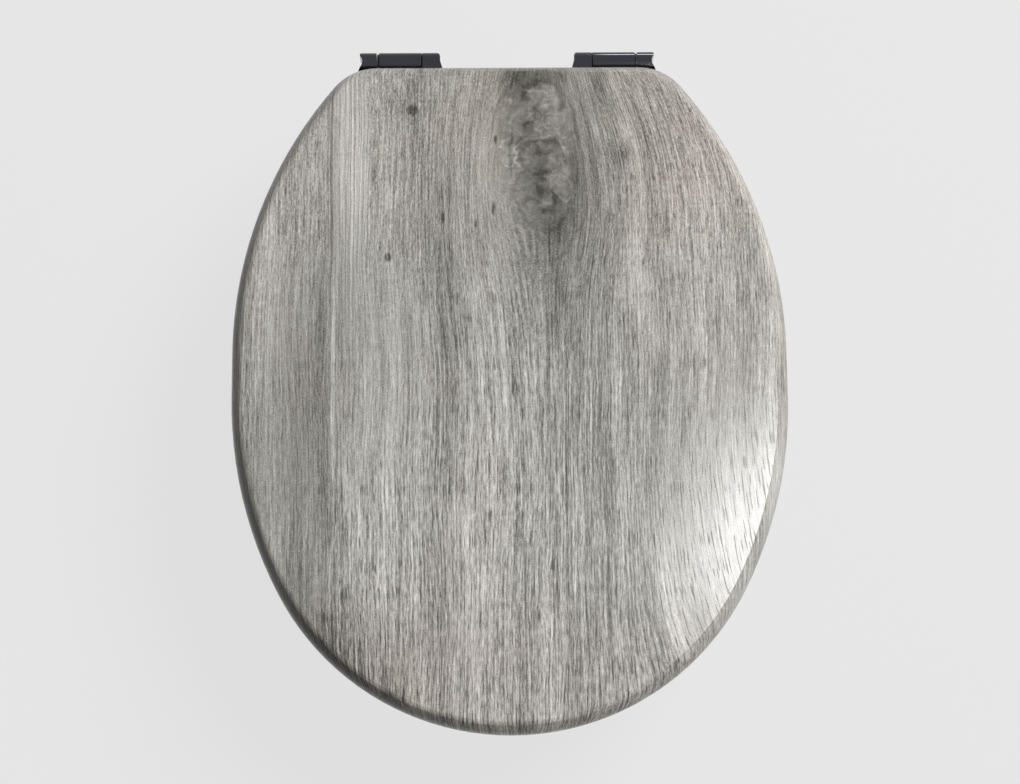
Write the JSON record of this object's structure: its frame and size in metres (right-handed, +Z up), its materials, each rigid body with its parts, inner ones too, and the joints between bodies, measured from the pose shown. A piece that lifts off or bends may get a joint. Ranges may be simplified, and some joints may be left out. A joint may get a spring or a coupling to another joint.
{
  "type": "toilet seat",
  "caption": "Oval toilet seat with a lid over an open ring, both in grey oak finish, on chromed soft close hinges with studs that fix to the pan.",
  "frame": {"origin": "midway between the two fixing studs, on the upper face of the pan", "axes": "+Z up, the front of the seat towards -Y, the hinges at +Y, +X to the right seen from the front"},
  "size_m": [0.37, 0.4657, 0.123],
  "materials": {
    "grey_oak": "satin wood print with embossed grain",
    "hinge_chrome": "polished dark chrome",
    "steel": "zinc plated",
    "damper_plastic": "moulded",
    "nut_plastic": "moulded",
    "buffer_rubber": "soft moulded",
    "fixing_rubber": "soft moulded"
  },
  "bodies": {
    "mount": {"hinge_pillar_left": "hinge_chrome", "base_gasket_left": "fixing_rubber", "damper_body_left": "damper_plastic", "hinge_washer_left": "damper_plastic", "fixing_stud_left": "steel", "cone_washer_left": "fixing_rubber", "flat_washer_left": "steel", "wing_nut_left": "nut_plastic", "hinge_pillar_right": "hinge_chrome", "base_gasket_right": "fixing_rubber", "damper_body_right": "damper_plastic", "hinge_washer_right": "damper_plastic", "fixing_stud_right": "steel", "cone_washer_right": "fixing_rubber", "flat_washer_right": "steel", "wing_nut_right": "nut_plastic"},
    "seat": {"seat_ring": "grey_oak", "seat_leaf_left": "hinge_chrome", "seat_leaf_right": "hinge_chrome", "seat_leaf_screws": "steel", "seat_buffer_screws": "steel", "damper_shaft_right": "steel", "pivot_pin_left": "steel", "seat_buffer_front_left": "buffer_rubber", "seat_buffer_front_right": "buffer_rubber", "seat_buffer_back_left": "buffer_rubber", "seat_buffer_back_right": "buffer_rubber"},
    "lid": {"lid": "grey_oak", "lid_leaf_left": "hinge_chrome", "lid_leaf_right": "hinge_chrome", "lid_leaf_screws": "steel", "lid_buffer_left": "buffer_rubber", "lid_buffer_right": "buffer_rubber", "damper_shaft_left": "steel", "pivot_pin_right": "steel"}
  },
  "joints": [
    {"name": "seat_hinge", "type": "hinge", "parent": "mount", "child": "seat", "pos_m": [0, 0.022, 0.024], "axis": [-1, 0, 0], "range_deg": [0, 95]},
    {"name": "lid_hinge", "type": "hinge", "parent": "seat", "child": "lid", "pos_m": [0, 0.022, 0.024], "axis": [-1, 0, 0], "range_deg": [0, 95]}
  ]
}
